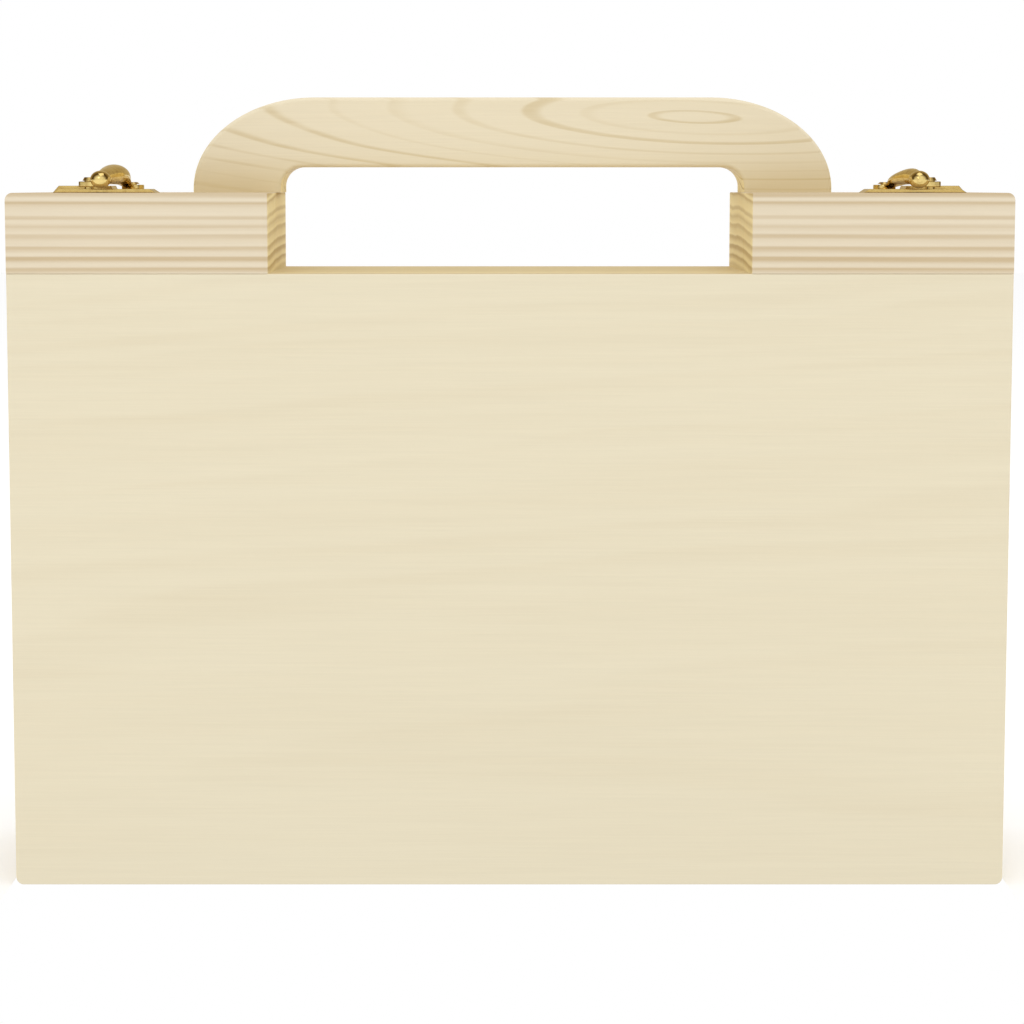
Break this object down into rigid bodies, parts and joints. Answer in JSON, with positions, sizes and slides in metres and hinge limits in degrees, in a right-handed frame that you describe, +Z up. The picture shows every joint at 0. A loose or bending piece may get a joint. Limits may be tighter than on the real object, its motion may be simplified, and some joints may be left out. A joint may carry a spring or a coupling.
{
  "type": "box easel",
  "caption": "Closed wooden box easel for a table: flat carrying case with arched handle, swing-hook latches, hinged easel lid, canvas clamp, palette and compartments.",
  "frame": {"origin": "middle of the closed case's footprint, on the surface that it stands on, with the handle up", "axes": "+Z up towards the handle, -Y out of the lid's front panel, X along the case's width"},
  "size_m": [0.4, 0.078, 0.319],
  "materials": {
    "pine": "unfinished, sanded",
    "plywood": "unfinished, sanded",
    "handle_wood": "unfinished, sanded",
    "brass": "polished"
  },
  "bodies": {
    "base": {"base_back_panel": "plywood", "base_block_left": "pine", "base_block_right": "pine", "base_bottom_rail": "pine", "base_hinge_leaf_left": "brass", "base_hinge_leaf_right": "brass", "base_hinge_screws": "brass", "base_side_left": "pine", "base_side_right": "pine", "base_top_rail": "pine", "button_block_left": "pine", "button_block_right": "pine", "button_screws": "brass", "cross_divider": "plywood", "handle": "handle_wood", "handle_dowels": "handle_wood", "hinge_pin_left": "brass", "hinge_pin_right": "brass", "latch_pins": "brass", "latch_pivot_left": "brass", "latch_pivot_right": "brass", "latch_plate_left": "brass", "latch_plate_right": "brass", "long_divider": "plywood", "palette": "plywood", "palette_cleats": "pine", "stay_rest_pins": "brass", "tray_divider_left": "plywood", "tray_divider_right": "plywood", "upper_divider": "plywood"},
    "lid": {"canvas_ledge": "pine", "canvas_lip": "handle_wood", "clamp_rail": "pine", "keeper_pins": "brass", "keeper_plate_left": "brass", "keeper_plate_right": "brass", "keeper_post_left": "brass", "keeper_post_right": "brass", "lid_block_left": "pine", "lid_block_right": "pine", "lid_bottom_rail": "pine", "lid_front_panel": "plywood", "lid_hinge_leaf_left": "brass", "lid_hinge_leaf_right": "brass", "lid_hinge_screws": "brass", "lid_side_left": "pine", "lid_side_right": "pine", "lid_top_rail": "pine", "stay_pivot_screws": "brass", "stay_spacers": "brass"},
    "hook_left": {"latch_hook_left": "brass"},
    "hook_right": {"latch_hook_right": "brass"},
    "stay_left": {"stay_arm_left": "brass"},
    "stay_right": {"stay_arm_right": "brass"},
    "canvas_clamp": {"clamp_block": "handle_wood", "clamp_bolt": "brass"},
    "clamp_nut": {"thumb_nut": "brass"},
    "button_left": {"turn_button_left": "brass"},
    "button_right": {"turn_button_right": "brass"}
  },
  "joints": [
    {"name": "lid_hinge", "type": "hinge", "parent": "base", "child": "lid", "pos_m": [0, -0.011, 0.0032], "axis": [1, 0, 0], "range_deg": [0, 110]},
    {"name": "stay_left_pivot", "type": "hinge", "parent": "lid", "child": "stay_left", "pos_m": [-0.1852, -0.023, 0.0632], "axis": [-1, 0, 0], "range_deg": [0, 134]},
    {"name": "stay_right_pivot", "type": "hinge", "parent": "lid", "child": "stay_right", "pos_m": [0.1852, -0.023, 0.0632], "axis": [-1, 0, 0], "range_deg": [0, 134]},
    {"name": "latch_left_swing", "type": "hinge", "parent": "base", "child": "hook_left", "pos_m": [-0.156, 0.003, 0.2822], "axis": [0, 0, 1], "range_deg": [0, 75]},
    {"name": "latch_right_swing", "type": "hinge", "parent": "base", "child": "hook_right", "pos_m": [0.156, 0.003, 0.2822], "axis": [0, 0, -1], "range_deg": [0, 75]},
    {"name": "clamp_slide", "type": "slide", "parent": "lid", "child": "canvas_clamp", "axis": [0, 0, -1], "range_m": [0, 0.12]},
    {"name": "thumb_nut_turn", "type": "hinge", "parent": "canvas_clamp", "child": "clamp_nut", "pos_m": [0, -0.014, 0.228], "axis": [0, 1, 0], "range_deg": [0, 360]},
    {"name": "button_left_turn", "type": "hinge", "parent": "base", "child": "button_left", "pos_m": [-0.183, -0.0086, 0.185], "axis": [0, -1, 0], "range_deg": [-90, 90]},
    {"name": "button_right_turn", "type": "hinge", "parent": "base", "child": "button_right", "pos_m": [0.183, -0.0086, 0.185], "axis": [0, 1, 0], "range_deg": [-90, 90]}
  ],
  "couplings": [
    {"joint": "stay_left_pivot", "follows": "lid_hinge", "ratio": 1.2125},
    {"joint": "stay_right_pivot", "follows": "lid_hinge", "ratio": 1.2125}
  ]
}
